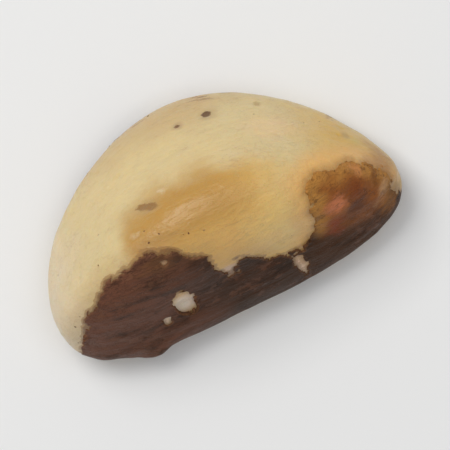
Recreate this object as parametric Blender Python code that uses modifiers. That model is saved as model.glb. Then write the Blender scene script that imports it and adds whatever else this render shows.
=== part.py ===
# Shelled brazil nut: one pale, three-sided kernel that still carries torn brown skin.
# It lies on a flatter side, its pointed tip towards +X and its bulging outer side towards +Y.
# The origin is on the surface it rests on, under the middle of its box.

import math

import bmesh
import bpy
from mathutils import Vector, noise

MM = 0.001

# Driving dimensions
LENGTH = 30.5 * MM
WIDTH = 18.1 * MM
HEIGHT = 14.0 * MM
SKIN_THICKNESS = 0.3 * MM
SKIN_GAP = 0.15 * MM

# The skin stands proud of the inner edge, so the flesh is narrower than the nut.
FLESH_WIDTH = WIDTH - SKIN_THICKNESS - SKIN_GAP

# Each side of the kernel: the angle that it faces round the length, how far it lies from the
# kernel's spine as a share of the width, and how it draws in towards the blunt end and the tip.
SIDES = (
    (-90, 0.308, 0.36, 0.40),
    (6, 0.690, 0.44, 0.78),
    (46, 0.480, 0.44, 0.78),
    (152, 0.305, 0.48, 0.42),
)
CORNER_POWER = 2.4

# The spine's offset to the side and up at the blunt end, the middle and the tip, by the width
SPINE_ACROSS = (-0.178, -0.050, -0.165)
SPINE_UP = (0.275, 0.310, 0.255)

# The inner side is slightly hollow, and the whole surface swells gently.
HOLLOW_ANGLE = 150
HOLLOW_DEPTH = 0.30 * MM
HOLLOW_HALF_LENGTH = 0.55
HOLLOW_SPREAD = 0.10
SWELL_DEPTH = 0.012
SWELLS = (
    (Vector((5.3, 2.4, -1.1)), 0.6),
    (Vector((-3.2, 6.8, 2.9)), 2.1),
    (Vector((8.4, -1.7, 5.6)), 4.0),
)

# The spot that it rests on is a thin slice off the resting side.
REST_SLICE = 0.13 * MM

# Squares along each edge of the cube that is blown up into the kernel, odd so that none of its
# corners falls on the spine.
CELLS = 21

# The torn edge of the skin on the inner side, from the blunt end to the tip: along and across
TEAR_LINE = (
    (-14.6, -6.6), (-13.8, -4.9), (-12.2, -3.3), (-10.2, -2.1), (-8.2, -1.4), (-6.2, -1.1),
    (-4.6, -1.6), (-3.2, -2.5), (-1.9, -3.5), (-1.4, -4.8), (-0.9, -5.9), (-0.2, -5.6),
    (0.2, -4.6), (0.9, -4.6), (2.0, -5.3), (3.2, -5.8), (4.6, -6.5), (5.4, -6.5), (6.3, -6.0),
    (7.0, -5.4), (7.3, -4.4), (7.5, -2.9), (8.0, -1.8), (9.3, -1.3), (10.8, -1.5), (12.2, -1.9),
    (13.4, -2.7), (14.0, -3.7), (14.3, -4.7), (14.6, -6.0),
)

# The skin's lower edge, under the nut: its height along the length
LOWER_LINE = ((-15.0, 2.2), (-11.0, 1.9), (-6.0, 1.1), (-1.0, 1.6), (4.0, 1.1), (9.0, 1.7), (15.0, 2.4))

# How far the torn edges wander, and the length of one wander
TEAR_WANDER = 0.45 * MM
TEAR_PITCH = 2.1 * MM

# The scrap of skin left under the outer side: its middle along and up, and its half sizes
SCRAP_ALONG = -5.6 * MM
SCRAP_UP = 1.55 * MM
SCRAP_HALF_LENGTH = 5.2 * MM
SCRAP_HALF_HEIGHT = 0.65 * MM

# A cut across a mesh edge keeps at least this share of it on either side.
SHORTEST_CUT = 0.1


def clear_scene():
    """Remove every object that the file opened with."""
    for thing in list(bpy.data.objects):
        bpy.data.objects.remove(thing, do_unlink=True)


def new_collection(name):
    """A collection in the scene for the nut's pieces."""
    collection = bpy.data.collections.new(name)
    bpy.context.scene.collection.children.link(collection)
    return collection


def new_material(name, colour, roughness):
    """A plain, non-metallic Principled material."""
    material = bpy.data.materials.new(name)
    material.use_nodes = True
    shader = material.node_tree.nodes["Principled BSDF"]
    shader.inputs["Base Color"].default_value = (*colour, 1.0)
    shader.inputs["Roughness"].default_value = roughness
    shader.inputs["Metallic"].default_value = 0.0
    material.diffuse_color = (*colour, 1.0)
    return material


def new_object(name, mesh_data, material, collection):
    """Turn a bmesh into a smooth-shaded object with one material."""
    mesh = bpy.data.meshes.new(name)
    mesh_data.to_mesh(mesh)
    mesh_data.free()
    mesh.shade_smooth()
    mesh.materials.append(material)
    thing = bpy.data.objects.new(name, mesh)
    collection.objects.link(thing)
    return thing


def bowed(t, ends_and_middle):
    """A value that runs from the blunt end through the middle to the tip, with t from -1 to 1."""
    blunt, middle, tip = ends_and_middle
    straight = blunt + (tip - blunt) * (1 + t) / 2
    return straight + (middle - (blunt + tip) / 2) * (1 - t * t)


def line_height(points, along):
    """The height of a line given by (along, height) points in millimetres."""
    x = along / MM
    for (x0, y0), (x1, y1) in zip(points, points[1:]):
        if x <= x1:
            share = max(0.0, (x - x0) / (x1 - x0))
            return (y0 + (y1 - y0) * share) * MM
    return points[-1][1] * MM


def flesh_point(direction):
    """Where the kernel's surface lies in a direction from its middle, before it is sized."""
    t = direction.x
    fullness = 1 - t * t
    around = Vector((direction.y, direction.z)).normalized()
    pull = 0.0
    for angle, reach, blunt, tip in SIDES:
        facing = around.x * math.cos(math.radians(angle)) + around.y * math.sin(math.radians(angle))
        draw_in = blunt + (tip - blunt) * (1 + t) / 2
        distance = reach * WIDTH * fullness ** draw_in
        pull += (max(0.0, facing) / distance) ** CORNER_POWER
    radius = pull ** (-1 / CORNER_POWER)

    hollow = math.radians(HOLLOW_ANGLE)
    off_hollow = 1 - around.x * math.cos(hollow) - around.y * math.sin(hollow)
    radius -= HOLLOW_DEPTH * math.exp(-(t / HOLLOW_HALF_LENGTH) ** 2 - off_hollow / HOLLOW_SPREAD)
    swell = sum(math.sin(wave.dot(direction) + phase) for wave, phase in SWELLS) / len(SWELLS)
    radius *= 1 + SWELL_DEPTH * swell

    across = bowed(t, SPINE_ACROSS) * WIDTH + radius * around.x
    up = bowed(t, SPINE_UP) * WIDTH + radius * around.y
    return Vector((t * LENGTH / 2, across, up))


def blown_cube(cells):
    """A cube of squares with its corners pushed out to a ball, evenly spread."""
    mesh = bmesh.new()
    bmesh.ops.create_cube(mesh, size=2.0)
    bmesh.ops.subdivide_edges(mesh, edges=mesh.edges[:], cuts=cells - 1, use_grid_fill=True)
    for vert in mesh.verts:
        spread = Vector([math.tan(math.pi / 4 * value) for value in vert.co])
        vert.co = spread.normalized()
    return mesh


def flesh_surface():
    """The kernel's whole surface, sized to its box, its lowest point a slice below the floor."""
    mesh = blown_cube(CELLS)
    for vert in mesh.verts:
        vert.co = flesh_point(vert.co)
    low = Vector([min(vert.co[axis] for vert in mesh.verts) for axis in range(3)])
    high = Vector([max(vert.co[axis] for vert in mesh.verts) for axis in range(3)])
    box_low = Vector((-LENGTH / 2, WIDTH / 2 - FLESH_WIDTH, -REST_SLICE))
    box_high = Vector((LENGTH / 2, WIDTH / 2, HEIGHT))
    for vert in mesh.verts:
        for axis in range(3):
            share = (vert.co[axis] - low[axis]) / (high[axis] - low[axis])
            vert.co[axis] = box_low[axis] + share * (box_high[axis] - box_low[axis])
    mesh.normal_update()
    return mesh


def make_kernel(material, collection):
    """The flesh, in one piece, with the flat spot that it rests on."""
    mesh = flesh_surface()
    everything = mesh.verts[:] + mesh.edges[:] + mesh.faces[:]
    snap = SKIN_GAP / 3
    cut = bmesh.ops.bisect_plane(mesh, geom=everything, dist=snap, use_snap_center=True,
                                 plane_co=(0, 0, 0), plane_no=(0, 0, -1), clear_outer=True)
    rim = [part for part in cut["geom_cut"] if isinstance(part, bmesh.types.BMEdge)]
    bmesh.ops.contextual_create(mesh, geom=rim)
    return new_object("kernel", mesh, material, collection)


def wander(point):
    """How far a torn edge strays at a point, the same each run."""
    return TEAR_WANDER * noise.noise(point / TEAR_PITCH)


def inside_band(point):
    """Above zero where the broad band of skin on the inner side covers the flesh."""
    above = line_height(TEAR_LINE, point.x) - point.y
    below = point.z - line_height(LOWER_LINE, point.x)
    return min(above, below) + wander(point)


def inside_scrap(point):
    """Above zero where the scrap of skin under the outer side covers the flesh."""
    if point.y < 0:
        return -SCRAP_HALF_HEIGHT
    along = (point.x - SCRAP_ALONG) / SCRAP_HALF_LENGTH
    up = (point.z - SCRAP_UP) / SCRAP_HALF_HEIGHT
    return SCRAP_HALF_HEIGHT * (1 - along * along - up * up) + wander(point) / 2


def cut_along_tear(mesh, inside):
    """Split the faces along the line where the inside value passes through zero."""
    value = {vert: inside(vert.co) for vert in mesh.verts}
    normal = {vert: vert.normal.copy() for vert in mesh.verts}
    crossing = [edge for edge in mesh.edges if value[edge.verts[0]] * value[edge.verts[1]] < 0]
    torn = []
    for edge in crossing:
        start, end = edge.verts
        share = value[start] / (value[start] - value[end])
        share = min(1 - SHORTEST_CUT, max(SHORTEST_CUT, share))
        turned = normal[start].lerp(normal[end], share).normalized()
        added = bmesh.utils.edge_split(edge, start, share)[1]
        value[added] = 0.0
        normal[added] = turned
        torn.append(added)
    bmesh.ops.connect_verts(mesh, verts=torn)
    return value, normal


def largest_patch(mesh):
    """The faces of the biggest sheet that hangs together."""
    left = set(mesh.faces)
    best = set()
    while left:
        patch = set()
        queue = [left.pop()]
        while queue:
            face = queue.pop()
            patch.add(face)
            near = {other for edge in face.edges for other in edge.link_faces} & left
            left -= near
            queue.extend(near)
        if len(patch) > len(best):
            best = patch
    return best


def make_skin(name, inside, material, collection):
    """A torn sheet of skin, a hair's breadth off the flesh, made solid outwards."""
    mesh = flesh_surface()
    value, normal = cut_along_tear(mesh, inside)
    bare = [face for face in mesh.faces if sum(value[vert] for vert in face.verts) <= 0]
    bmesh.ops.delete(mesh, geom=bare, context="FACES")
    kept = largest_patch(mesh)
    loose = [face for face in mesh.faces if face not in kept]
    bmesh.ops.delete(mesh, geom=loose, context="FACES")
    for vert in mesh.verts:
        vert.co += normal[vert] * SKIN_GAP
    skin = new_object(name, mesh, material, collection)
    solid = skin.modifiers.new("thickness", "SOLIDIFY")
    solid.thickness = SKIN_THICKNESS
    solid.offset = 1.0
    return skin


def main():
    clear_scene()
    collection = new_collection("shelled_brazil_nut")
    flesh = new_material("flesh", (0.60, 0.46, 0.26), 0.45)
    brown_skin = new_material("brown_skin", (0.090, 0.040, 0.028), 0.55)
    make_kernel(flesh, collection)
    make_skin("skin_band", inside_band, brown_skin, collection)
    make_skin("skin_scrap", inside_scrap, brown_skin, collection)


main()
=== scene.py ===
import math

import bmesh
import bpy
import numpy as np
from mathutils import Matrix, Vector, kdtree, noise


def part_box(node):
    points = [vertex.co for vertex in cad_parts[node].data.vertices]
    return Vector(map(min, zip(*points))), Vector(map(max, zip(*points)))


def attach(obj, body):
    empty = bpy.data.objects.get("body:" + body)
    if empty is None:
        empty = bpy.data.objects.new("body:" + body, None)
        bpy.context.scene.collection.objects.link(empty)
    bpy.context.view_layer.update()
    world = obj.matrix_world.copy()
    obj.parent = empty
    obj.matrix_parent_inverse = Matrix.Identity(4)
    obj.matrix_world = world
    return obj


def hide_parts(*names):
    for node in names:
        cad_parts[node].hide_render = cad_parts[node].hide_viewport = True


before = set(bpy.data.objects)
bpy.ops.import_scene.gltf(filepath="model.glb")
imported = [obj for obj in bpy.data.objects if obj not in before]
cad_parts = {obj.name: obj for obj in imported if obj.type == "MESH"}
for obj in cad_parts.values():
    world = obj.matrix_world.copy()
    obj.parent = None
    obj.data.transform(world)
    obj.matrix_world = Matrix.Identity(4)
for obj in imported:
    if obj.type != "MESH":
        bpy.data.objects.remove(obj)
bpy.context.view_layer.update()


# The kernel: one lump of oily flesh, blunt at one end and pointed at the other. It is roughly
# three-sided, with an underside, a straight side and an outer side that two faces round off. Lumps,
# grooves and pits roughen it, and it is flat only on the small spot that it rests on.
MM = 0.001
LENGTH = 30.5 * MM
WIDTH = 18.1 * MM

# Each side: the angle that it faces round the length, how far it lies from the spine as a share of
# the width, and how it draws in towards the blunt end and the tip
SIDES = (
    (-90, 0.308, 0.36, 0.40),
    (6, 0.690, 0.44, 0.78),
    (46, 0.480, 0.44, 0.78),
    (152, 0.305, 0.48, 0.42),
)
CORNER_POWER = 2.4

# The spine's place across and up at the blunt end, the middle and the tip, as shares of the width
SPINE_ACROSS = (-0.178, -0.050, -0.165)
SPINE_UP = (0.275, 0.310, 0.255)

# The hollow side: its angle round the length, how deep it dips, how far that reaches along the nut,
# as a share of its half length, and how widely round it
HOLLOW_ANGLE = 150
HOLLOW_DEPTH = 0.30 * MM
HOLLOW_HALF_LENGTH = 0.55
HOLLOW_SPREAD = 0.10

# Slow waves that swell the whole surface: how deep, as a share of its radius, then for each wave
# its number of turns on each axis and its start
SWELL_DEPTH = 0.012
SWELLS = (((5.3, 2.4, -1.1), 0.6), ((-3.2, 6.8, 2.9), 2.1), ((8.4, -1.7, 5.6), 4.0))

# What the flat spot takes off the lowest side
REST_SLICE = 0.13 * MM

# Squares along each edge of the cube that is blown up into the kernel, odd so that none of its
# corners falls on the spine
KERNEL_SQUARES = 91

# Relief: how deep, and how many lumps, grooves, dimples or pits to a millimetre on each axis
LUMP_DEPTH = 0.22 * MM
LUMP_GRAIN = (0.10, 0.16, 0.16)
GROOVE_DEPTH = 0.12 * MM
GROOVE_GRAIN = (0.05, 0.42, 0.42)
DIMPLE_DEPTH = 0.03 * MM
DIMPLE_GRAIN = (0.8, 0.8, 0.8)
PIT_DEPTH = 0.11 * MM
PIT_GRAIN = (0.33, 0.33, 0.33)

# The distances from its middle between which a pit's wall slopes, as shares of the pits' spacing,
# and the chances between which a place goes from a full pit to none
PIT_WALL = (0.03, 0.13)
PIT_CHANCE = (0.25, 0.35)

# Dents on the upper side: the depth, then the middle and the half sizes of each in millimetres,
# and its turn in degrees
DENTS = (
    (0.10, (3.35, 6.95, 6.55, 0.60, 0.50, 0.60, 20)),
    (0.06, (0.75, 7.15, 6.90, 0.45, 0.35, 0.45, -15)),
    (0.12, (-4.40, 2.35, 12.1, 1.45, 0.50, 1.10, -21)),
    (0.05, (7.40, 5.90, 5.40, 0.45, 0.40, 0.50, 40)),
)

# How ragged a mark's outline is, in lumps to its half width, and where the mark has faded out, in
# half sizes from its middle
MARK_LUMPS = 0.7
MARK_END = 1.25

# Colours of the flesh: the ground, the hollow side, the two ends, and what lies on it
CREAM = (0.750, 0.578, 0.280)
GREY_CREAM = (0.700, 0.560, 0.290)
PINK_CREAM = (0.745, 0.540, 0.290)
STREAK_TAN = (0.640, 0.450, 0.210)
FLANK_TAN_AND_SHADE = (0.600, 0.400, 0.180)
HOLLOW_TAN = (0.832, 0.494, 0.144)
HOLLOW_GOLD_AND_LIGHT = (0.885, 0.598, 0.206)
CREST_TAN_AND_SHADE = (0.525, 0.280, 0.055)
TIP_GOLD_AND_SHADE = (0.735, 0.430, 0.070)
PAINTED_LIGHT_BLUNT_CREAM = (0.820, 0.665, 0.450)
SCUFF_CREAM = (0.825, 0.700, 0.480)
SCRATCH_BROWN = (0.520, 0.330, 0.140)
FILM_TAN = (0.440, 0.235, 0.090)
FILM_BROWN = (0.190, 0.078, 0.032)
FILM_DARK = (0.095, 0.040, 0.020)
GRIT_CREAM = (0.800, 0.690, 0.480)
SPECK_BROWN = (0.330, 0.190, 0.085)
STAIN_TAN = (0.480, 0.280, 0.100)
HALO_ORANGE_AND_LIGHT = (0.870, 0.500, 0.160)
RIM_BROWN = (0.480, 0.235, 0.065)
EDGE_BROWN = (0.330, 0.165, 0.058)
EDGE_DARK_AND_SHADOW = (0.170, 0.075, 0.026)

# Marks on the flesh: the strength, the colour, then the middle and the half sizes in millimetres
# and the turn in degrees. Shades round pits and dents, painted light on the outer flank and
# patches towards the tip come first, then the flesh that chips and notches in the skin lay bare.
SOFT_MARKS = (
    (0.50, (0.420, 0.280, 0.130), (3.35, 6.95, 6.55, 0.85, 0.80, 0.90, 20)),
    (0.50, (0.400, 0.240, 0.130), (0.75, 7.15, 6.90, 0.60, 0.50, 0.60, -15)),
    (0.50, (0.460, 0.300, 0.120), (-4.45, 2.40, 12.1, 1.70, 0.70, 1.50, -22)),
    # Painted light that lightens the outer flank towards the tip
    (0.45, (0.900, 0.620, 0.330), (7.60, 3.80, 8.40, 2.80, 1.70, 2.20, -20)),
    (0.45, (0.620, 0.490, 0.110), (13.2, -0.20, 6.40, 0.90, 0.80, 1.40, -35)),
    (0.55, (0.460, 0.260, 0.060), (12.6, 0.40, 5.80, 0.50, 0.45, 0.80, -35)),
    (0.60, (0.440, 0.250, 0.075), (7.35, 5.90, 5.40, 0.40, 0.38, 0.50, 40)),
    (0.95, (0.980, 0.830, 0.700), (-5.15, -5.9, 7.7, 1.7, 1.7, 1.9, 0)),
    (0.85, (0.930, 0.780, 0.640), (-7.0, -6.6, 6.5, 0.9, 1.0, 1.2, 0)),
    (0.90, (0.700, 0.440, 0.330), (-5.1, -2.3, 12.7, 0.7, 0.6, 0.8, 0)),
    (0.45, (0.460, 0.250, 0.090), (-5.0, -0.7, 12.5, 2.4, 1.0, 1.5, -4)),
    (0.90, (0.840, 0.600, 0.490), (-0.6, -5.4, 9.0, 0.9, 0.9, 1.7, 0)),
    (0.90, (0.830, 0.630, 0.560), (4.8, -7.2, 5.6, 0.8, 1.5, 2.6, 0)),
)

# Two dark pits and the long dent, with sharp outlines
SHARP_MARKS = (
    (0.92, (0.140, 0.058, 0.014), (3.30, 7.00, 6.50, 0.38, 0.32, 0.43, 25)),
    (0.88, (0.190, 0.085, 0.026), (0.70, 7.20, 6.85, 0.24, 0.20, 0.25, -10)),
    (0.80, (0.300, 0.145, 0.036), (-4.35, 2.35, 12.1, 1.15, 0.30, 0.90, -20)),
)

# The dark end of the tip: brown stain, with painted shade where the end turns from the light
TIP_STAIN_AND_SHADE_MARKS = (
    (0.80, (0.430, 0.190, 0.036), (14.2, -2.80, 6.40, 1.40, 2.40, 3.20, 0)),
    (0.55, (0.240, 0.120, 0.024), (14.5, -5.00, 5.00, 0.60, 1.00, 1.60, 15)),
)

# Where the film along the edge is missing, round the largest chip
CLEAN_SPOT = (-5.7, -6.1, 7.4, 2.6, 2.0, 3.0, 20)

# Roughness of clean flesh, what the scuffs add to it, and the rest of its finish
FLESH_ROUGHNESS = 0.37
SCUFF_ROUGHNESS = 0.12
FLESH_FINISH = {
    "Subsurface Weight": 0.3,
    "Subsurface Radius": (1.0, 0.55, 0.25),
    "Subsurface Scale": 1.2 * MM,
    "Specular IOR Level": 0.42,
    "Coat Weight": 0.08,
    "Coat Roughness": 0.28,
}
FLESH_BUMP = {"Strength": 0.7, "Distance": 0.08 * MM}


class Wire:
    """A socket of a node tree. Sums written with it become Math nodes."""

    def __init__(self, bench, socket):
        self.bench = bench
        self.socket = socket

    def worked(self, operation, first, second=0.0):
        return self.bench.node("ShaderNodeMath", {"operation": operation}, {0: first, 1: second})

    def __add__(self, other):
        return self.worked("ADD", self, other)

    def __sub__(self, other):
        return self.worked("SUBTRACT", self, other)

    def __rsub__(self, other):
        return self.worked("SUBTRACT", other, self)

    def __mul__(self, other):
        return self.worked("MULTIPLY", self, other)

    def __truediv__(self, other):
        return self.worked("DIVIDE", self, other)

    def __pow__(self, other):
        return self.worked("POWER", self, other)

    def __rpow__(self, other):
        return self.worked("POWER", other, self)

    def at_least(self, other):
        return self.worked("MAXIMUM", self, other)

    def eased(self, low, high):
        """A smooth step from 0 at low to 1 at high."""
        span = {"Value": self, "From Min": low, "From Max": high}
        return self.bench.node("ShaderNodeMapRange", {"interpolation_type": "SMOOTHSTEP"}, span)

    __radd__ = __add__
    __rmul__ = __mul__


class Bench:
    """A node tree with one method that adds any node to it."""

    def __init__(self, tree):
        self.tree = tree

    def node(self, kind, settings=None, values=None, out=0):
        """Add a node, set it up, fill or link its inputs, and give back one output."""
        made = self.tree.nodes.new(kind)
        for name, setting in (settings or {}).items():
            setattr(made, name, setting)
        for name, value in (values or {}).items():
            socket = made.inputs[name]
            if isinstance(value, Wire):
                self.tree.links.new(value.socket, socket)
            else:
                socket.default_value = value
        return Wire(self, made.outputs[out])

    def split(self, vector):
        """The three parts of a vector."""
        first = self.node("ShaderNodeSeparateXYZ", values={0: vector})
        return [Wire(self, output) for output in first.socket.node.outputs]

    def joined(self, *parts):
        """A vector made of three parts."""
        return self.node("ShaderNodeCombineXYZ", values=dict(enumerate(parts)))

    def vector(self, operation, first, second=(0, 0, 0), out=0):
        return self.node("ShaderNodeVectorMath", {"operation": operation}, {0: first, 1: second}, out)

    def counted(self, place, scale):
        """A place counted in lumps, where scale is the lumps to a millimetre on each axis."""
        return self.vector("MULTIPLY", place, tuple(value / MM for value in scale))

    def grain(self, place, scale, detail=2.0, roughness=0.5):
        """Cloudy noise about zero, from -1 to 1."""
        lumps = self.counted(place, scale)
        values = {"Vector": lumps, "Scale": 1.0, "Detail": detail, "Roughness": roughness}
        return self.node("ShaderNodeTexNoise", values=values) * 2.0 - 1.0

    def scattered(self, place, scale):
        """The distance to the nearest of many scattered centres, and a random number for each."""
        values = {"Vector": self.counted(place, scale), "Scale": 1.0}
        distance = self.node("ShaderNodeTexVoronoi", values=values, out="Distance")
        chance = self.split(Wire(self, distance.socket.node.outputs["Color"]))[0]
        return distance, chance

    def mix(self, share, first, second):
        """Colours blended by share."""
        settings = {"data_type": "RGBA"}
        colours = [value if isinstance(value, Wire) else (*value, 1.0) for value in (first, second)]
        return self.node("ShaderNodeMix", settings, {0: share, 6: colours[0], 7: colours[1]}, 2)


def along_nut(t, blunt, tip):
    """A value that changes evenly from the blunt end, where t is -1, to the tip, where it is 1."""
    return (t + 1.0) * ((tip - blunt) / 2) + blunt


def bowed(t, blunt, middle, tip):
    """A value that runs in a bow from the blunt end through a middle one to the tip."""
    return along_nut(t, blunt, tip) + (1.0 - t * t) * (middle - (blunt + tip) / 2)


def spot(place, mark, inner=0.3, ragged=0.6):
    """1 on a mark, easing to 0 round it. A mark is its middle, its half sizes and its turn."""
    middle_x, middle_y, middle_z, half_length, half_width, half_height, turn = mark
    bench = place.bench
    lumps = MARK_LUMPS / half_width
    outline = bench.grain(place, (lumps * 0.5, lumps, lumps), 4.0, 0.65) * ragged
    x, y, z = [part / MM for part in bench.split(place)]
    cosine, sine = math.cos(math.radians(turn)), math.sin(math.radians(turn))
    along = ((x - middle_x) * cosine + (y - middle_y) * sine) / half_length
    across = ((y - middle_y) * cosine - (x - middle_x) * sine) / half_width
    up = (z - middle_z) / half_height
    away = (along * along + across * across + up * up) ** 0.5 + outline
    return 1.0 - away.eased(inner, MARK_END)


def marked(colour, place, marks, inner, ragged):
    """A colour with marks on it, each given as (strength, colour, mark)."""
    for strength, shade, mark in marks:
        colour = place.bench.mix(spot(place, mark, inner, ragged) * strength, colour, shade)
    return colour


def new_tree(name, inputs):
    """A tree of geometry nodes with named inputs: its bench, and the wires of the inputs by name."""
    tree = bpy.data.node_groups.new(name, "GeometryNodeTree")
    for label, kind in inputs.items():
        tree.interface.new_socket(label, in_out="INPUT", socket_type="NodeSocket" + kind)
    tree.interface.new_socket("Geometry", in_out="OUTPUT", socket_type="NodeSocketGeometry")
    bench = Bench(tree)
    outputs = bench.node("NodeGroupInput").socket.node.outputs
    return bench, {output.name: Wire(bench, output) for output in outputs}


def finished_tree(bench, shape, finish):
    """End a tree: its shape is shaded smooth, made plain mesh and given its finish."""
    shape = bench.node("GeometryNodeSetShadeSmooth", values={"Geometry": shape})
    shape = bench.node("GeometryNodeRealizeInstances", values={0: shape})
    shape = bench.node("GeometryNodeSetMaterial", values={"Geometry": shape, "Material": finish})
    bench.tree.links.new(shape.socket, bench.tree.nodes.new("NodeGroupOutput").inputs[0])
    return bench.tree


def kernel_tree():
    """Geometry nodes that blow a cube of squares up into the kernel."""
    bench, given = new_tree("kernel_form", {
        "Squares": "Int",
        "Low Corner": "Vector",
        "High Corner": "Vector",
        "Pit Depth": "Float",
        "Finish": "Material",
    })

    corners = given["Squares"] + 1
    values = {"Size": (2, 2, 2), "Vertices X": corners, "Vertices Y": corners, "Vertices Z": corners}
    shape = bench.node("GeometryNodeMeshCube", values=values)
    cube = bench.split(bench.node("GeometryNodeInputPosition"))
    turns = [part * (math.pi / 4) for part in cube]
    spread = [bench.node("ShaderNodeMath", {"operation": "TANGENT"}, {0: turn}) for turn in turns]
    direction = bench.vector("NORMALIZE", bench.joined(*spread))

    # t runs along the nut from -1 to 1, and side and up give the way out from the spine.
    t, side, up = bench.split(direction)
    off_spine = (side * side + up * up) ** 0.5
    side = side / off_spine
    up = up / off_spine

    # The four sides, joined by soft corners
    fullness = 1.0 - t * t
    pull = 0.0
    for angle, reach, blunt, tip in SIDES:
        facing = side * math.cos(math.radians(angle)) + up * math.sin(math.radians(angle))
        distance = fullness ** along_nut(t, blunt, tip) * (reach * WIDTH)
        pull = (facing.at_least(0.0) / distance) ** CORNER_POWER + pull
    radius = pull ** (-1 / CORNER_POWER)

    # The hollow side and the slow waves
    hollow = math.radians(HOLLOW_ANGLE)
    off_hollow = 1.0 - side * math.cos(hollow) - up * math.sin(hollow)
    along_hollow = t * (1 / HOLLOW_HALF_LENGTH)
    dip = math.e ** (off_hollow * (-1 / HOLLOW_SPREAD) - along_hollow * along_hollow)
    radius = radius - dip * HOLLOW_DEPTH
    swell = 0.0
    for wave, phase in SWELLS:
        height = bench.vector("DOT_PRODUCT", direction, wave, "Value") + phase
        swell = bench.node("ShaderNodeMath", {"operation": "SINE"}, {0: height}) + swell
    radius = radius * (swell * (SWELL_DEPTH / len(SWELLS)) + 1.0)

    across = bowed(t, *SPINE_ACROSS) * WIDTH + radius * side
    height = bowed(t, *SPINE_UP) * WIDTH + radius * up
    place = bench.joined(t * (LENGTH / 2), across, height)
    shape = bench.node("GeometryNodeSetPosition", values={"Geometry": shape, "Position": place})

    # Stretched to fill the box between the two corners
    low = bench.node("GeometryNodeBoundBox", values={0: shape}, out="Min")
    high = Wire(bench, low.socket.node.outputs["Max"])
    place = bench.node("GeometryNodeInputPosition")
    height = bench.vector("SUBTRACT", place, low)
    share = bench.vector("DIVIDE", height, bench.vector("SUBTRACT", high, low))
    size = bench.vector("SUBTRACT", given["High Corner"], given["Low Corner"])
    sized = bench.vector("ADD", bench.vector("MULTIPLY", share, size), given["Low Corner"])
    shape = bench.node("GeometryNodeSetPosition", values={"Geometry": shape, "Position": sized})

    # Relief, along the surface's own normals
    place = bench.node("GeometryNodeInputPosition")
    relief = bench.grain(place, LUMP_GRAIN, 1.0) * LUMP_DEPTH
    relief = relief + bench.grain(place, GROOVE_GRAIN, 2.0) * GROOVE_DEPTH
    relief = relief + bench.grain(place, DIMPLE_GRAIN, 2.0) * DIMPLE_DEPTH
    from_centre, chance = bench.scattered(place, PIT_GRAIN)
    pit = (1.0 - from_centre.eased(*PIT_WALL)) * (1.0 - chance.eased(*PIT_CHANCE))
    relief = relief - pit * given["Pit Depth"]
    for depth, mark in DENTS:
        relief = relief - spot(place, mark) * (depth * MM)
    outward = bench.node("GeometryNodeInputNormal")
    offset = bench.vector("MULTIPLY", outward, bench.joined(relief, relief, relief))
    shape = bench.node("GeometryNodeSetPosition", values={"Geometry": shape, "Offset": offset})

    # Flattened where it would reach below the surface that it lies on
    x, y, z = bench.split(bench.node("GeometryNodeInputPosition"))
    rested = bench.joined(x, y, z.at_least(0.0))
    shape = bench.node("GeometryNodeSetPosition", values={"Geometry": shape, "Position": rested})
    return finished_tree(bench, shape, given["Finish"])


def grown(name, tree, values, start=None):
    """The mesh that a tree of geometry nodes makes, as a plain object at the origin."""
    piece = bpy.data.objects.new(name, start or bpy.data.meshes.new(name))
    bpy.context.scene.collection.objects.link(piece)
    maker = piece.modifiers.new("form", "NODES")
    maker.node_group = tree
    for item in tree.interface.items_tree:
        if item.in_out == "INPUT" and item.name in values:
            maker[item.identifier] = values[item.name]
    now = bpy.context.evaluated_depsgraph_get()
    made = bpy.data.meshes.new_from_object(piece.evaluated_get(now))
    piece.modifiers.clear()
    piece.data = made
    return piece


def new_material(name):
    """A material with its node bench and its Principled shader."""
    material = bpy.data.materials.new(name)
    material.use_nodes = True
    return material, Bench(material.node_tree), material.node_tree.nodes["Principled BSDF"]


def set_sockets(shader, values):
    """Set the sockets whose values are the same all over."""
    for name, value in values.items():
        shader.inputs[name].default_value = value


def link_sockets(shader, wires):
    """Link the sockets whose values change over the surface."""
    for name, wire in wires.items():
        wire.bench.tree.links.new(wire.socket, shader.inputs[name])


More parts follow.
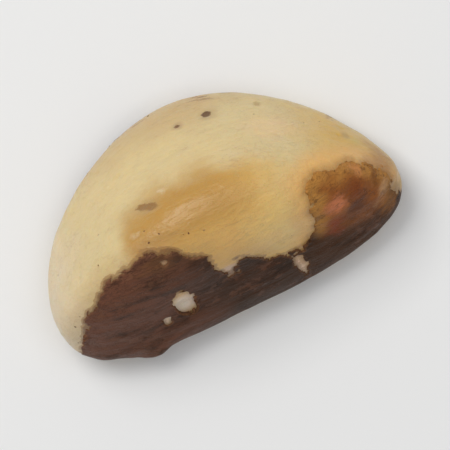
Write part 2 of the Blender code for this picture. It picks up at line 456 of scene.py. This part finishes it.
def flesh_material():
    """Waxy cream flesh: tan on the hollow side, stained brown along the skin, darker at the tip;
    partly painted light and shade.
    """
    material, bench, shader = new_material("nut_flesh")
    place = bench.node("ShaderNodeTexCoord", out="Object")
    torn = bench.node("ShaderNodeAttribute", {"attribute_name": "torn"}, out="Fac")
    x, y, z = [part / MM for part in bench.split(place)]
    broad = bench.grain(place, (0.10, 0.14, 0.14), 2.0)
    mottle = bench.grain(place, (0.40, 0.55, 0.55), 4.0, 0.6)
    streak = bench.grain(place, (0.12, 1.3, 1.3), 3.0, 0.6)
    wobble = bench.grain(place, (0.28, 0.28, 0.28), 4.0, 0.55)
    fine = bench.grain(place, (5.0, 5.0, 5.0), 3.0, 0.6)
    scratch = bench.grain(place, (0.35, 1.9, 1.9), 4.0, 0.55)
    upper = z.eased(3.0, 7.0)

    # The cream ground, with tan that is partly painted shade where the flank turns under
    colour = bench.mix((broad + mottle * 0.5).eased(-0.5, 0.5), CREAM, GREY_CREAM)
    colour = bench.mix(mottle.eased(0.0, 0.6) * 0.5, colour, PINK_CREAM)
    colour = bench.mix(streak.eased(0.05, 0.7) * 0.35, colour, STREAK_TAN)
    flank = (y + wobble * 1.8 + mottle * 0.4).eased(5.2, 8.6)
    flank = flank * (1.0 - x.eased(3.0, 9.0) * 0.4)
    colour = bench.mix(flank * 0.65, colour, FLANK_TAN_AND_SHADE)

    # Tan on the hollow side, deepest along its crest, under an arched upper limit. The gold towards
    # the tip is partly painted light, and the darker crest partly painted shade.
    arch = (x + 1.0) * (x + 1.0) * 0.045
    hollow = (x + wobble * 1.6 + mottle * 0.6).eased(-8.4, -6.2)
    hollow = hollow * (1.0 - (x + wobble * 2.5).eased(4.0, 9.0))
    hollow = hollow * (1.0 - (y + arch + wobble * 1.6 + mottle * 0.6).eased(2.0, 5.0)) * upper
    # Gold towards the tip, lightened in part as painted light
    tan = bench.mix((x + wobble * 3.0).eased(1.0, 5.0), HOLLOW_TAN, HOLLOW_GOLD_AND_LIGHT)
    # The crest's darker tan is partly painted shade.
    crest = (y + mottle * 0.5).eased(-2.6, -0.2) * (1.0 - (x + wobble).eased(0.0, 7.0) * 0.6)
    tan = bench.mix(crest, tan, CREST_TAN_AND_SHADE)
    colour = bench.mix(hollow * 0.95, colour, tan)

    # The golden tip, partly its colour and partly painted shade where the end turns from the light,
    # and the paler blunt end, which is painted light.
    pointed = (x + wobble * 2.0).eased(7.5, 12.5) * (upper * 0.5 + 0.4)
    colour = bench.mix(pointed, colour, TIP_GOLD_AND_SHADE)
    # Painted light: the blunt end is paled as if lit.
    pale = (1.0 - (x + wobble * 2.5).eased(-14.5, -9.5)) * 0.7
    colour = bench.mix(pale, colour, PAINTED_LIGHT_BLUNT_CREAM)

    # Scuffs and hair-fine scratches
    scuff = (bench.grain(place, (0.22, 0.34, 0.34), 5.0, 0.6) + mottle * 0.20).eased(0.27, 0.42)
    colour = bench.mix(scuff * 0.40, colour, SCUFF_CREAM)
    line = 1.0 - (scratch * scratch).eased(0.0, 0.0016)
    colour = bench.mix(line * mottle.eased(-0.1, 0.4) * 0.40, colour, SCRATCH_BROWN)

    # Patches of thin brown film, left low on the flanks and underneath
    remnant = bench.grain(place, (0.18, 1.1, 1.1), 5.0, 0.62) + broad * 0.7 + wobble * 0.3
    remnant = remnant - z * 0.035 + 0.12
    low_down = 1.0 - z.eased(3.7, 5.3)
    colour = bench.mix(remnant.eased(0.22, 0.33) * low_down * 0.50, colour, FILM_TAN)
    colour = bench.mix(remnant.eased(0.33, 0.38) * low_down * 0.75, colour, FILM_BROWN)
    colour = bench.mix(remnant.eased(0.45, 0.62) * low_down * 0.65, colour, FILM_DARK)

    # Pale grit, small specks and the marks
    colour = bench.mix((fine * 0.6 + mottle).eased(0.45, 0.75) * 0.25, colour, GRIT_CREAM)
    from_centre, chance = bench.scattered(place, (0.9, 0.9, 0.9))
    speck = 1.0 - (from_centre + fine * 0.03).eased(0.03, 0.10)
    speck = speck * (1.0 - chance.eased(0.10, 0.16))
    colour = bench.mix(speck * 0.7, colour, SPECK_BROWN)
    colour = marked(colour, place, SOFT_MARKS, inner=0.3, ragged=0.6)
    colour = marked(colour, place, SHARP_MARKS, inner=0.75, ragged=0.9)

    # Stains along the torn edge: faint and wide, with an orange halo, partly lightened as painted
    # light, and a brown rim near the tip
    stain = (torn + wobble).eased(-2.4, 0.0) * 0.35
    colour = bench.mix(stain, colour, STAIN_TAN)
    tip = x.eased(4.0, 5.8) * upper
    halo = (torn + wobble * 1.2).eased(-2.8, -0.3) * tip
    colour = bench.mix(halo * 0.85, colour, HALO_ORANGE_AND_LIGHT)
    rim = (torn + mottle * 0.4 + wobble * 0.2).eased(-0.85, 0.1) * tip
    colour = bench.mix(rim * 0.65, colour, RIM_BROWN)
    # Brown stain and painted shade on the end of the tip
    colour = marked(colour, place, TIP_STAIN_AND_SHADE_MARKS, inner=0.1, ragged=1.3)

    # A thin film of skin that clings to the flesh just past the torn edge; the dark line right at the
    # edge is partly that film and partly painted shadow under the lip
    film_and_shadow = torn + wobble * 0.55 + streak * 0.30 + mottle * 0.30
    whole = (1.0 - spot(place, CLEAN_SPOT) * 0.9) * (1.0 - tip * 0.9)
    colour = bench.mix(film_and_shadow.eased(-0.34, -0.26) * whole * 0.60, colour, EDGE_BROWN)
    colour = bench.mix(film_and_shadow.eased(-0.16, -0.02) * whole * 0.60, colour, EDGE_DARK_AND_SHADOW)

    # Fine relief: grain, streaks and dimples stand up, scratches, specks and scuffs lie lower.
    rough = mottle * 0.07 + broad * 0.05 + scuff * SCUFF_ROUGHNESS + FLESH_ROUGHNESS
    dimple = bench.grain(place, (0.9, 1.5, 1.5), 3.0, 0.6)
    height = fine * 0.25 + streak * 0.5 + dimple * 0.9 - line * 0.25 - speck * 0.8 - scuff * 0.3
    bump = bench.node("ShaderNodeBump", values={"Height": height, **FLESH_BUMP})
    set_sockets(shader, FLESH_FINISH)
    link_sockets(shader, {"Base Color": colour, "Roughness": rough, "Normal": bump})
    return material


flesh = flesh_material()
kernel_form = kernel_tree()
flesh_low, flesh_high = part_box("kernel")
kernel_size = {
    "Low Corner": (flesh_low.x, flesh_low.y, -REST_SLICE),
    "High Corner": tuple(flesh_high),
    "Finish": flesh,
}
fine_form = {**kernel_size, "Squares": KERNEL_SQUARES, "Pit Depth": PIT_DEPTH}
kernel = grown("kernel_flesh", kernel_form, fine_form)
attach(kernel, "root")
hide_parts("kernel")


# The skin: the papery brown seed coat that shelling left along the straight edge, in one torn
# sheet, and a smaller scrap of it low on the outer side. It grows on the flesh, so it is made from
# the kernel's own surface, raised a little, and closed into a thin shell with a ragged lip.
SKIN_THICKNESS = 0.25 * MM
INWARDS = -1.0

# Squares of the surface that it is cut from, odd for the same reason as the kernel's
SKIN_SQUARES = 97

# How high it stands on the flesh: away from its edges, at them, and where slow noise curls them up
SKIN_RISE = 0.20 * MM
EDGE_RISE = 0.09 * MM
EDGE_WIDTH = 1.3 * MM
CURL_RISE = 0.30 * MM
CURL_WIDTH = 0.40 * MM
CURL_PITCH = 2.6 * MM
CURL_NOISE = (0.10, 0.45)
WRINKLE_DEPTH = 0.08 * MM
WRINKLE_PITCH = 0.85 * MM
WRINKLE_STRETCH = 0.16

# Past a torn edge it dives into the flesh: how deep, between which distances from the edge, and
# beyond which distance whole squares are cut off
SKIN_SINK = 0.10 * MM
LIP = (-0.04 * MM, 0.07 * MM)
BARE = -0.1 * MM

# It stands lower towards both ends of the nut, by this share, over these stretches of the length.
TAPER = 0.75
BLUNT_TAPER = (-14.6 * MM, -12.5 * MM)
TIP_TAPER = (12.8 * MM, 14.8 * MM)

# Where the skin has come loose from the straight edge: along, up, half length, half height, rise
# and how far along its length it is highest, from -1 to 1, all but the last in millimetres
LOOSE = ((-9.8, 3.2, 3.4, 2.2, 0.26, 0.0), (-9.3, 2.9, 1.5, 1.4, 0.36, 0.25))

# The share of its half height over which a loose stretch has its full rise, how far its ends
# wander, and how far over on the straight side a place has to be for it to lift
LOOSE_FLAT = 0.2
LOOSE_WANDER = 0.5
STRAIGHT_SIDE = -5 * MM

# How near to a torn edge a square is cut smaller: on the skin, on the flesh and round the scrap
SKIN_NEAR = 0.2 * MM
FLESH_NEAR = 0.25 * MM
SCRAP_NEAR = 0.2 * MM

# The torn edge on top, from the blunt end to the tip: along and across, in millimetres. The second
# line is the lower edge, under the nut: along and up.
TEAR_LINE = (
    (-14.6, -6.6), (-13.8, -4.9), (-12.2, -3.3), (-10.2, -2.1), (-8.2, -1.4), (-6.2, -1.1),
    (-4.6, -1.6), (-3.2, -2.5), (-1.9, -3.5), (-1.4, -4.8), (-0.9, -5.9), (-0.2, -5.6),
    (0.2, -4.6), (0.9, -4.6), (2.0, -5.3), (3.2, -5.8), (4.6, -6.5), (5.4, -6.5), (6.3, -6.0),
    (7.0, -5.4), (7.3, -4.4), (7.5, -2.9), (8.0, -1.8), (9.3, -1.3), (10.8, -1.5), (12.2, -1.9),
    (13.4, -2.7), (14.0, -3.7), (14.3, -4.7), (14.6, -6.0),
)
LOWER_LINE = (
    (-15.0, 2.2), (-11.0, 1.9), (-6.0, 1.1), (-1.0, 1.6), (4.0, 1.1), (9.0, 1.7), (15.0, 2.4),
)

# How a torn edge strays from its line: a slow wander, chips and splinters, each with its pitch. The
# middle of a chip or a splinter, times a large number, draws how deep it goes.
TEAR_WANDER = 0.45 * MM
TEAR_PITCH = 2.1 * MM
CHIP_DEPTH = 0.22 * MM
CHIP_PITCH = 0.75 * MM
SPLINTER_DEPTH = 0.09 * MM
SPLINTER_PITCH = 0.26 * MM
CELL_SCATTER = 31.7

# Strays are worked out only this near to a line, and a chip or a scrap strays less than the band.
TEAR_REACH = 1.4 * MM
CHIP_STRAY = 0.6
SCRAP_STRAY = 0.5

# The scrap of skin under the outer side: its middle along and up, and its half sizes
SCRAP_ALONG = -5.6 * MM
SCRAP_UP = 1.55 * MM
SCRAP_HALF_LENGTH = 5.2 * MM
SCRAP_HALF_HEIGHT = 0.65 * MM

# Chips lost from the skin, where the flesh shows: the middle and the half sizes in millimetres
CHIPS = (
    (-5.10, -5.85, 7.75, 0.88, 1.5, 2.2),
    (-7.0, -6.6, 6.5, 0.42, 0.5, 0.7),
    (-5.1, -2.3, 12.7, 0.34, 0.26, 0.4),
    (4.75, -7.1, 5.7, 0.36, 0.95, 1.9),
)

# Colours of the skin from the blunt end to the tip, and what lies on it
BLUNT_SKIN_AND_SHEEN = (0.160, 0.064, 0.038)
MIDDLE_SKIN = (0.056, 0.025, 0.013)
TIP_SKIN = (0.078, 0.025, 0.005)
RED_SKIN = (0.135, 0.048, 0.025)
CLOUD_BROWN = (0.030, 0.014, 0.008)
STREAK_BROWN = (0.034, 0.016, 0.010)
FLAKED_BROWN = (0.165, 0.072, 0.040)
FIBRE_TAN = (0.215, 0.112, 0.068)
CRACK_BROWN = (0.018, 0.009, 0.006)
AMBER_EDGE = (0.520, 0.235, 0.052)
AMBER_MIDDLE = (0.330, 0.105, 0.022)
AMBER_BROWN = (0.210, 0.075, 0.018)
FLECK_BROWN = (0.130, 0.048, 0.014)
DUST_BROWN = (0.045, 0.020, 0.012)
LIP_TAN = (0.240, 0.110, 0.050)

# Marks on the skin, given as those on the flesh are, most of them in the rubbed patch near the tip
SKIN_MARKS = (
    (0.60, (0.300, 0.100, 0.020), (9.9, -2.1, 11.0, 1.0, 0.7, 1.2, -15)),
    (0.85, (0.210, 0.052, 0.014), (11.3, -4.1, 9.2, 1.3, 1.0, 1.6, -20)),
    (0.80, (0.210, 0.068, 0.012), (13.2, -3.4, 8.0, 0.55, 1.2, 1.6, -15)),
    (0.85, (0.640, 0.260, 0.080), (12.0, -2.4, 9.3, 0.8, 0.6, 0.9, -30)),
    (0.85, (0.125, 0.046, 0.024), (10.9, -5.3, 7.7, 1.6, 1.0, 1.6, 15)),
    (0.85, (0.440, 0.170, 0.042), (13.2, -5.9, 5.4, 1.3, 0.9, 2.2, 20)),
    (0.80, (0.600, 0.330, 0.150), (13.3, -4.8, 6.8, 1.3, 0.5, 1.6, 42)),
    (0.95, (0.150, 0.062, 0.008), (14.1, -5.3, 5.4, 1.3, 0.7, 2.0, 37)),
    (0.45, (0.330, 0.270, 0.240), (1.45, -7.3, 5.5, 0.35, 0.3, 0.5, 0)),
    (0.85, (0.300, 0.060, 0.024), (8.7, -5.6, 7.6, 1.1, 1.1, 1.6, 10)),
    (0.92, (0.720, 0.235, 0.100), (9.35, -4.2, 9.8, 1.15, 1.2, 1.4, 0)),
    (0.60, (0.160, 0.070, 0.026), (-5.2, -2.4, 12.6, 2.3, 0.9, 1.3, -10)),
)

# Roughness of clean skin, and the rest of its finish
SKIN_ROUGHNESS = 0.50
SKIN_FINISH = {"Specular IOR Level": 0.20, "Specular Tint": (1.0, 0.76, 0.56, 1.0)}
SKIN_BUMP = {"Strength": 0.8, "Distance": 0.09 * MM}


def read_vectors(items, name):
    """One vector for each item, as rows of an array."""
    flat = np.zeros(len(items) * 3, np.float32)
    items.foreach_get(name, flat)
    return flat.reshape(-1, 3).astype(float)


def below_line(points, along, height):
    """How far each place lies below a line, given by its (along, height) points in millimetres."""
    places = np.stack((along, height), axis=1)
    corners = np.array(points) * MM
    nearest = np.full(len(places), np.inf)
    for start, end in zip(corners, corners[1:]):
        run = end - start
        share = np.clip((places - start) @ run / (run @ run), 0, 1)
        nearest = np.minimum(nearest, np.linalg.norm(places - start - share[:, None] * run, axis=1))
    return np.where(np.interp(along, *corners.T) > height, nearest, -nearest)


def stray(place):
    """How far a torn edge strays at a place: a slow wave, chips with sharp corners, splinters."""
    wave = TEAR_WANDER * noise.noise(place / TEAR_PITCH)
    chip = noise.voronoi(place / CHIP_PITCH)[1][0]
    splinter = noise.voronoi(place / SPLINTER_PITCH)[1][0]
    chipped = CHIP_DEPTH * noise.cell(chip * CELL_SCATTER)
    splintered = SPLINTER_DEPTH * noise.cell(splinter * CELL_SCATTER)
    return wave + chipped + splintered


def with_strays(inside, places, share):
    """The inside values, with the torn edge made ragged."""
    for index in np.flatnonzero(np.abs(inside) < TEAR_REACH):
        inside[index] += share * stray(Vector(places[index]))
    return inside


def inside_band(places):
    """Above zero where the broad band of skin along the straight edge covers the flesh."""
    x, y, z = places.T
    inside = np.minimum(below_line(TEAR_LINE, x, y), -below_line(LOWER_LINE, x, z))
    inside = with_strays(inside, places, 1.0)
    for chip in CHIPS:
        away = np.linalg.norm((places / MM - chip[:3]) / chip[3:], axis=1) - 1
        inside = np.minimum(inside, with_strays(away * chip[3] * MM, places, CHIP_STRAY))
    return inside


def inside_scrap(places):
    """Above zero where the scrap of skin under the outer side covers the flesh."""
    x, y, z = places.T
    along = (x - SCRAP_ALONG) / SCRAP_HALF_LENGTH
    up = (z - SCRAP_UP) / SCRAP_HALF_HEIGHT
    inside = np.where(y < 0, -2 * TEAR_REACH, SCRAP_HALF_HEIGHT * (1 - along ** 2 - up ** 2))
    return with_strays(inside, places, SCRAP_STRAY)


def refined(mesh, inside, reach, cuts):
    """Cut the squares near a torn edge into smaller ones, so that it comes out sharp."""
    value = inside(read_vectors(mesh.vertices, "co"))
    fine = bmesh.new()
    fine.from_mesh(mesh)
    near = []
    for face in fine.faces:
        values = [value[vert.index] for vert in face.verts]
        if min(values) < reach and max(values) > -reach:
            near.append(face)
    edges = list({edge for face in near for edge in face.edges})
    bmesh.ops.subdivide_edges(fine, edges=edges, cuts=cuts, use_grid_fill=True)
    fine.to_mesh(mesh)
    fine.free()


def torn_points(mesh, value):
    """The places where the torn edge crosses the edges of the mesh."""
    places = read_vectors(mesh.vertices, "co")
    ends = np.zeros(len(mesh.edges) * 2, np.int32)
    mesh.edges.foreach_get("vertices", ends)
    first, second = ends.reshape(-1, 2).T
    crossed = value[first] * value[second] < 0
    first, second = first[crossed], second[crossed]
    share = (value[first] / (value[first] - value[second]))[:, None]
    return places[first] * (1 - share) + places[second] * share


def depth_inside(places, value, points):
    """How far each place lies from the torn edge, above zero where skin covers it."""
    tree = kdtree.KDTree(len(points))
    for index, point in enumerate(points):
        tree.insert(point, index)
    tree.balance()
    distance = np.array([tree.find(place)[2] for place in places])
    return np.sign(value) * distance


def store(mesh, name, values):
    """Keep one number for each point of the mesh, for its material to read."""
    mesh.attributes.new(name, "FLOAT", "POINT").data.foreach_set("value", values.astype(np.float32))


def eased(value, low, high):
    """A smooth step from 0 at low to 1 at high."""
    share = np.clip((value - low) / (high - low), 0, 1)
    return share * share * (3 - 2 * share)


def largest_patch(mesh):
    """The faces of the biggest sheet that hangs together."""
    left = set(mesh.faces)
    best = set()
    while left:
        patch = set()
        queue = [left.pop()]
        while queue:
            face = queue.pop()
            patch.add(face)
            near = {other for edge in face.edges for other in edge.link_faces} & left
            left -= near
            queue.extend(near)
        if len(patch) > len(best):
            best = patch
    return best


def skin_rise(places, depth):
    """How high the skin stands on the flesh at each place, below zero past its torn edge."""
    lift = np.array([noise.noise(Vector(place) / CURL_PITCH) for place in places])
    along_grain = places * (WRINKLE_STRETCH, 1, 1)
    wrinkle = np.array([noise.noise(Vector(place) / WRINKLE_PITCH) for place in along_grain])
    rise = EDGE_RISE + (SKIN_RISE - EDGE_RISE) * eased(depth, 0, EDGE_WIDTH)
    rise += CURL_RISE * eased(lift, *CURL_NOISE) * (1 - eased(depth, 0, CURL_WIDTH))
    rise += WRINKLE_DEPTH * wrinkle * eased(depth, 0, CURL_WIDTH)
    away_from_ends = eased(places[:, 0], *BLUNT_TAPER) * (1 - eased(places[:, 0], *TIP_TAPER))
    rise *= 1 - TAPER * (1 - away_from_ends)
    for x, z, half_length, half_height, height, crest in LOOSE:
        along = (places[:, 0] / MM - x) / half_length + lift * LOOSE_WANDER
        up = np.abs(places[:, 2] / MM - z) / half_height
        shape = eased(along, -1, crest) * (1 - eased(along, crest, 1))
        shape = shape * (1 - eased(up, LOOSE_FLAT, 1))
        rise += height * MM * shape * (places[:, 1] < STRAIGHT_SIDE)
    return (rise + SKIN_SINK) * eased(depth, *LIP) - SKIN_SINK


def cut_out(surface, depth):
    """Leave only the one sheet that lies inside its torn edge."""
    sheet = bmesh.new()
    sheet.from_mesh(surface)
    bare = [face for face in sheet.faces if max(depth[vert.index] for vert in face.verts) < BARE]
    bmesh.ops.delete(sheet, geom=bare, context="FACES")
    whole = largest_patch(sheet)
    scraps = [face for face in sheet.faces if face not in whole]
    bmesh.ops.delete(sheet, geom=scraps, context="FACES")
    sheet.to_mesh(surface)
    sheet.free()


def skin_sheet(name, inside, node, material):
    """A torn sheet of skin on the flesh, closed into a thin shell, and the points of its edge."""
    form = {**kernel_size, "Squares": SKIN_SQUARES, "Pit Depth": 0.0}
    source = grown("source", kernel_form, form)
    surface = source.data
    refined(surface, inside, SKIN_NEAR, cuts=2)
    places = read_vectors(surface.vertices, "co")
    outward = read_vectors(surface.vertex_normals, "vector")
    value = inside(places)
    edge = torn_points(surface, value)
    depth = depth_inside(places, value, edge)

    raised = places + outward * skin_rise(places, depth)[:, None]
    surface.vertices.foreach_set("co", raised.astype(np.float32).ravel())
    store(surface, "torn", depth / MM)
    cut_out(surface, depth)
    surface.materials.clear()
    surface.materials.append(material)
    surface.shade_smooth()

    wall = source.modifiers.new("wall", "SOLIDIFY")
    wall.thickness = SKIN_THICKNESS
    wall.offset = INWARDS
    now = bpy.context.evaluated_depsgraph_get()
    closed = bpy.data.meshes.new_from_object(source.evaluated_get(now))
    source.modifiers.clear()
    source.data = closed
    source.name = name
    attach(source, "root")
    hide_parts(node)
    return edge


def skin_material():
    """Dry brown seed coat: streaked along the nut, redder and paler where it is worn or torn."""
    material, bench, shader = new_material("nut_skin")
    place = bench.node("ShaderNodeTexCoord", out="Object")
    torn = bench.node("ShaderNodeAttribute", {"attribute_name": "torn"}, out="Fac")
    x, y, z = [part / MM for part in bench.split(place)]
    broad = bench.grain(place, (0.16, 0.24, 0.24), 3.0)
    streak = bench.grain(place, (0.16, 1.6, 1.6), 4.0, 0.6)
    fibre = bench.grain(place, (0.5, 5.0, 5.0), 3.0, 0.6)
    fine = bench.grain(place, (3.0, 5.0, 5.0), 3.0, 0.6)
    mottle = bench.grain(place, (0.9, 1.2, 1.2), 4.0, 0.65)
    cloud = bench.grain(place, (0.26, 0.50, 0.50), 4.0, 0.6)
    warm = mottle * 0.5 + broad

    # Purple brown at the blunt end, partly the skin's colour and partly a painted sheen, blacker in
    # the middle and browner towards the tip
    blunt = 1.0 - (x + broad * 4.0).eased(-7.5, 0.0)
    colour = bench.mix(blunt, MIDDLE_SKIN, BLUNT_SKIN_AND_SHEEN)
    colour = bench.mix((x + warm * 2.0).eased(3.0, 8.5) * 0.75, colour, TIP_SKIN)
    colour = bench.mix((broad + mottle * 0.6).eased(-0.1, 0.6) * 0.5, colour, RED_SKIN)
    colour = bench.mix(cloud.eased(-0.05, 0.40) * 0.80, colour, CLOUD_BROWN)

    # Streaks, flaked places, fibres and fine cracks, all along the nut
    colour = bench.mix(streak.eased(0.05, 0.6) * 0.6, colour, STREAK_BROWN)
    flaked = (mottle + broad * 0.5 + fibre * 0.25).eased(0.18, 0.26)
    colour = bench.mix(flaked * 0.45, colour, FLAKED_BROWN)
    colour = bench.mix((fibre + streak * 0.5).eased(0.25, 0.80) * 0.45, colour, FIBRE_TAN)
    crack = bench.grain(place, (0.22, 2.4, 2.4), 3.0, 0.55)
    crack = 1.0 - (crack * crack).eased(0.0, 0.0022)
    colour = bench.mix(crack * cloud.eased(-0.3, 0.2) * 0.45, colour, CRACK_BROWN)

    # The rubbed patch near the tip, worn to a thin amber film
    thin = (x + warm * 0.8).eased(6.2, 7.6) * (y + warm * 0.9).eased(-7.0, -5.3)
    thin = thin * z.eased(4.5, 7.0)
    amber = bench.mix((torn + warm * 0.6).eased(0.3, 1.5), AMBER_EDGE, AMBER_MIDDLE)
    veined = (warm * 0.6 + fibre * 0.5 + streak * 0.3).eased(0.0, 0.7)
    amber = bench.mix(veined * 0.5, amber, AMBER_BROWN)
    colour = bench.mix(thin * 0.94, colour, amber)
    colour = marked(colour, place, SKIN_MARKS, inner=0.0, ragged=1.5)
    flecks = (mottle + fine * 0.35 + fibre * 0.25).eased(0.18, 0.26) * thin
    colour = bench.mix(flecks * 0.40, colour, FLECK_BROWN)
    colour = bench.mix((fine + fibre).eased(0.2, 0.9) * 0.20, colour, DUST_BROWN)

    # The broken lip shows the paler inside of the skin.
    edge = 1.0 - (torn + mottle * 0.20 + streak * 0.15).eased(-0.02, 0.20)
    colour = bench.mix(edge * (1.0 - thin * 0.8) * 0.6, colour, LIP_TAN)

    # Fine relief: streaks and fibres stand up, flaked places and cracks lie lower.
    rough = fine * 0.08 + mottle * 0.08 + cloud * 0.10 - flaked * 0.06 + SKIN_ROUGHNESS
    height = streak * 0.8 + fibre * 0.6 + fine * 0.5 - flaked * 0.9 - crack * 0.5
    bump = bench.node("ShaderNodeBump", values={"Height": height, **SKIN_BUMP})
    set_sockets(shader, SKIN_FINISH)
    link_sockets(shader, {"Base Color": colour, "Roughness": rough, "Normal": bump})
    return material


brown_skin = skin_material()
band_edge = skin_sheet("skin_along_edge", inside_band, "skin_band", brown_skin)
scrap_edge = skin_sheet("skin_under_side", inside_scrap, "skin_scrap", brown_skin)

# The flesh is cut finer along the torn edges and keeps its distance from them, for its stains.
refined(kernel.data, inside_band, FLESH_NEAR, cuts=2)
refined(kernel.data, inside_scrap, SCRAP_NEAR, cuts=1)
places = read_vectors(kernel.data.vertices, "co")
covered = np.maximum(inside_band(places), inside_scrap(places))
edges = np.vstack((band_edge, scrap_edge))
store(kernel.data, "torn", depth_inside(places, covered, edges) / MM)


# Crumbs of the skin: dry brown flakes that shelling rubbed off it, stuck to the waxy flesh along
# the torn edge. Each is a small flattened lump, sized and turned by chance.
CRUMB_DENSITY = 3.2e5
CRUMB_SEED = 7
CRUMB_SMALLEST = 0.03 * MM
CRUMB_LARGEST = 0.12 * MM
SPIN_SEED = 3

# One crumb, at a radius of 1: how often its faces are split, how lumpy it is, and its half sizes
CRUMB_SPLITS = 3
CRUMB_GRAIN = (0.8 * MM, 0.8 * MM, 0.8 * MM)
CRUMB_LUMPS = 0.5
CRUMB_FULLNESS = 0.9
CRUMB_SHAPE = (1.0, 0.65, 0.35)

# How far from the torn edge they lie, in millimetres, thickest where they are near it, and over
# what distance they stop
CRUMB_NEAR = -0.3
CRUMB_FAR = -3.2
CRUMB_STOP = 0.1


def crumb_tree():
    """Geometry nodes that scatter flattened crumbs over the flesh, thickest near the skin."""
    bench, given = new_tree("crumbs", {
        "Ground": "Geometry",
        "Density": "Float",
        "Seed": "Int",
        "Smallest": "Float",
        "Largest": "Float",
        "Finish": "Material",
    })
    torn = bench.node("GeometryNodeInputNamedAttribute", values={"Name": "torn"})
    past_edge = 1.0 - torn.eased(CRUMB_NEAR, CRUMB_NEAR + CRUMB_STOP)
    near = torn.eased(CRUMB_FAR, CRUMB_NEAR) * past_edge
    density = near * near * given["Density"]
    values = {"Mesh": given["Ground"], "Density": density, "Seed": given["Seed"]}
    points = bench.node("GeometryNodeDistributePointsOnFaces", values=values)
    turn = Wire(bench, points.socket.node.outputs["Rotation"])

    values = {"Radius": 1.0, "Subdivisions": CRUMB_SPLITS}
    crumb = bench.node("GeometryNodeMeshIcoSphere", values=values)
    place = bench.node("GeometryNodeInputPosition")
    lumps = bench.grain(place, CRUMB_GRAIN, 2.0) * CRUMB_LUMPS + CRUMB_FULLNESS
    place = bench.vector("MULTIPLY", place, bench.joined(lumps, lumps, lumps))
    place = bench.vector("MULTIPLY", place, CRUMB_SHAPE)
    crumb = bench.node("GeometryNodeSetPosition", values={"Geometry": crumb, "Position": place})

    values = {2: given["Smallest"], 3: given["Largest"], "Seed": given["Seed"]}
    size = bench.node("FunctionNodeRandomValue", {"data_type": "FLOAT"}, values, 1)
    scale = bench.joined(size, size, size)
    values = {"Points": points, "Instance": crumb, "Rotation": turn, "Scale": scale}
    crumbs = bench.node("GeometryNodeInstanceOnPoints", values=values)
    values = {2: 0.0, 3: math.tau, "Seed": SPIN_SEED}
    spin = bench.node("FunctionNodeRandomValue", {"data_type": "FLOAT"}, values, 1)
    spin = bench.joined(0.0, 0.0, spin)
    values = {"Instances": crumbs, "Rotation": spin}
    crumbs = bench.node("GeometryNodeRotateInstances", values=values)
    return finished_tree(bench, crumbs, given["Finish"])


scatter = {
    "Density": CRUMB_DENSITY,
    "Seed": CRUMB_SEED,
    "Smallest": CRUMB_SMALLEST,
    "Largest": CRUMB_LARGEST,
    "Finish": brown_skin,
}
crumbs = grown("skin_crumbs", crumb_tree(), scatter, kernel.data.copy())
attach(crumbs, "root")


# The pale surface that the nut lies on, a window and a ceiling that light it, and the camera,
# which looks straight down on it and is turned so that the tip points up to the right.
FLOOR_HALF = 0.6
FLOOR_FINISH = {"Base Color": (0.86, 0.86, 0.855, 1.0), "Roughness": 0.6}
ROOM_LIGHT = {"Color": (0.95, 0.97, 1.0, 1.0), "Strength": 0.33}
TIP_RISES = math.radians(26.5)
CAMERA_HEIGHT = 0.45
SENSOR_WIDTH = 36
CAMERA_REACH = 10

# The share of the picture's width that the nut fills
FRAME_SHARE = 0.78


def plain_floor():
    """A wide pale surface."""
    corners = [
        (-FLOOR_HALF, -FLOOR_HALF, 0),
        (FLOOR_HALF, -FLOOR_HALF, 0),
        (FLOOR_HALF, FLOOR_HALF, 0),
        (-FLOOR_HALF, FLOOR_HALF, 0),
    ]
    mesh = bpy.data.meshes.new("floor")
    mesh.from_pydata(corners, [], [(0, 1, 2, 3)])
    material, _, shader = new_material("pale_surface")
    set_sockets(shader, FLOOR_FINISH)
    mesh.materials.append(material)
    floor = bpy.data.objects.new("floor", mesh)
    bpy.context.scene.collection.objects.link(floor)


def soft_light(name, azimuth, elevation, distance, size, power, colour):
    """A square lamp that faces the nut. Azimuth is the way to it, in degrees from +X towards +Y."""
    lamp = bpy.data.lights.new(name, "AREA")
    lamp.shape = "SQUARE"
    lamp.size = size
    lamp.energy = power
    lamp.color = colour
    thing = bpy.data.objects.new(name, lamp)
    bpy.context.scene.collection.objects.link(thing)
    turn, lift = math.radians(azimuth), math.radians(elevation)
    flat = math.cos(lift)
    way = Vector((math.cos(turn) * flat, math.sin(turn) * flat, math.sin(lift)))
    thing.location = way * distance
    thing.rotation_euler = way.to_track_quat("Z", "Y").to_euler()


plain_floor()
soft_light("window", azimuth=112, elevation=58, distance=0.6, size=0.30, power=1.75,
           colour=(1.0, 0.985, 0.96))
soft_light("ceiling", azimuth=0, elevation=86, distance=0.8, size=0.7, power=1.7,
           colour=(0.99, 0.995, 1.0))
world = bpy.data.worlds.new("room")
world.use_nodes = True
set_sockets(world.node_tree.nodes["Background"], ROOM_LIGHT)
bpy.context.scene.world = world
bpy.context.scene.view_settings.view_transform = "Standard"

# The picture's right and its top, on the surface, and how far the nut reaches along them
right = Vector((math.cos(TIP_RISES), -math.sin(TIP_RISES), 0))
top = Vector((math.sin(TIP_RISES), math.cos(TIP_RISES), 0))
across = places @ np.array(right)
upward = places @ np.array(top)
aim = right * float(across.max() + across.min()) / 2
aim = aim + top * float(upward.max() + upward.min()) / 2
view_width = float(across.max() - across.min()) / FRAME_SHARE
lens = bpy.data.cameras.new("camera")
lens.sensor_width = SENSOR_WIDTH
lens.lens = lens.sensor_width * CAMERA_HEIGHT / view_width
lens.clip_end = CAMERA_REACH
camera = bpy.data.objects.new("camera", lens)
camera.location = aim + Vector((0, 0, CAMERA_HEIGHT))
camera.rotation_euler = (0, 0, -TIP_RISES)
bpy.context.scene.collection.objects.link(camera)
bpy.context.scene.camera = camera
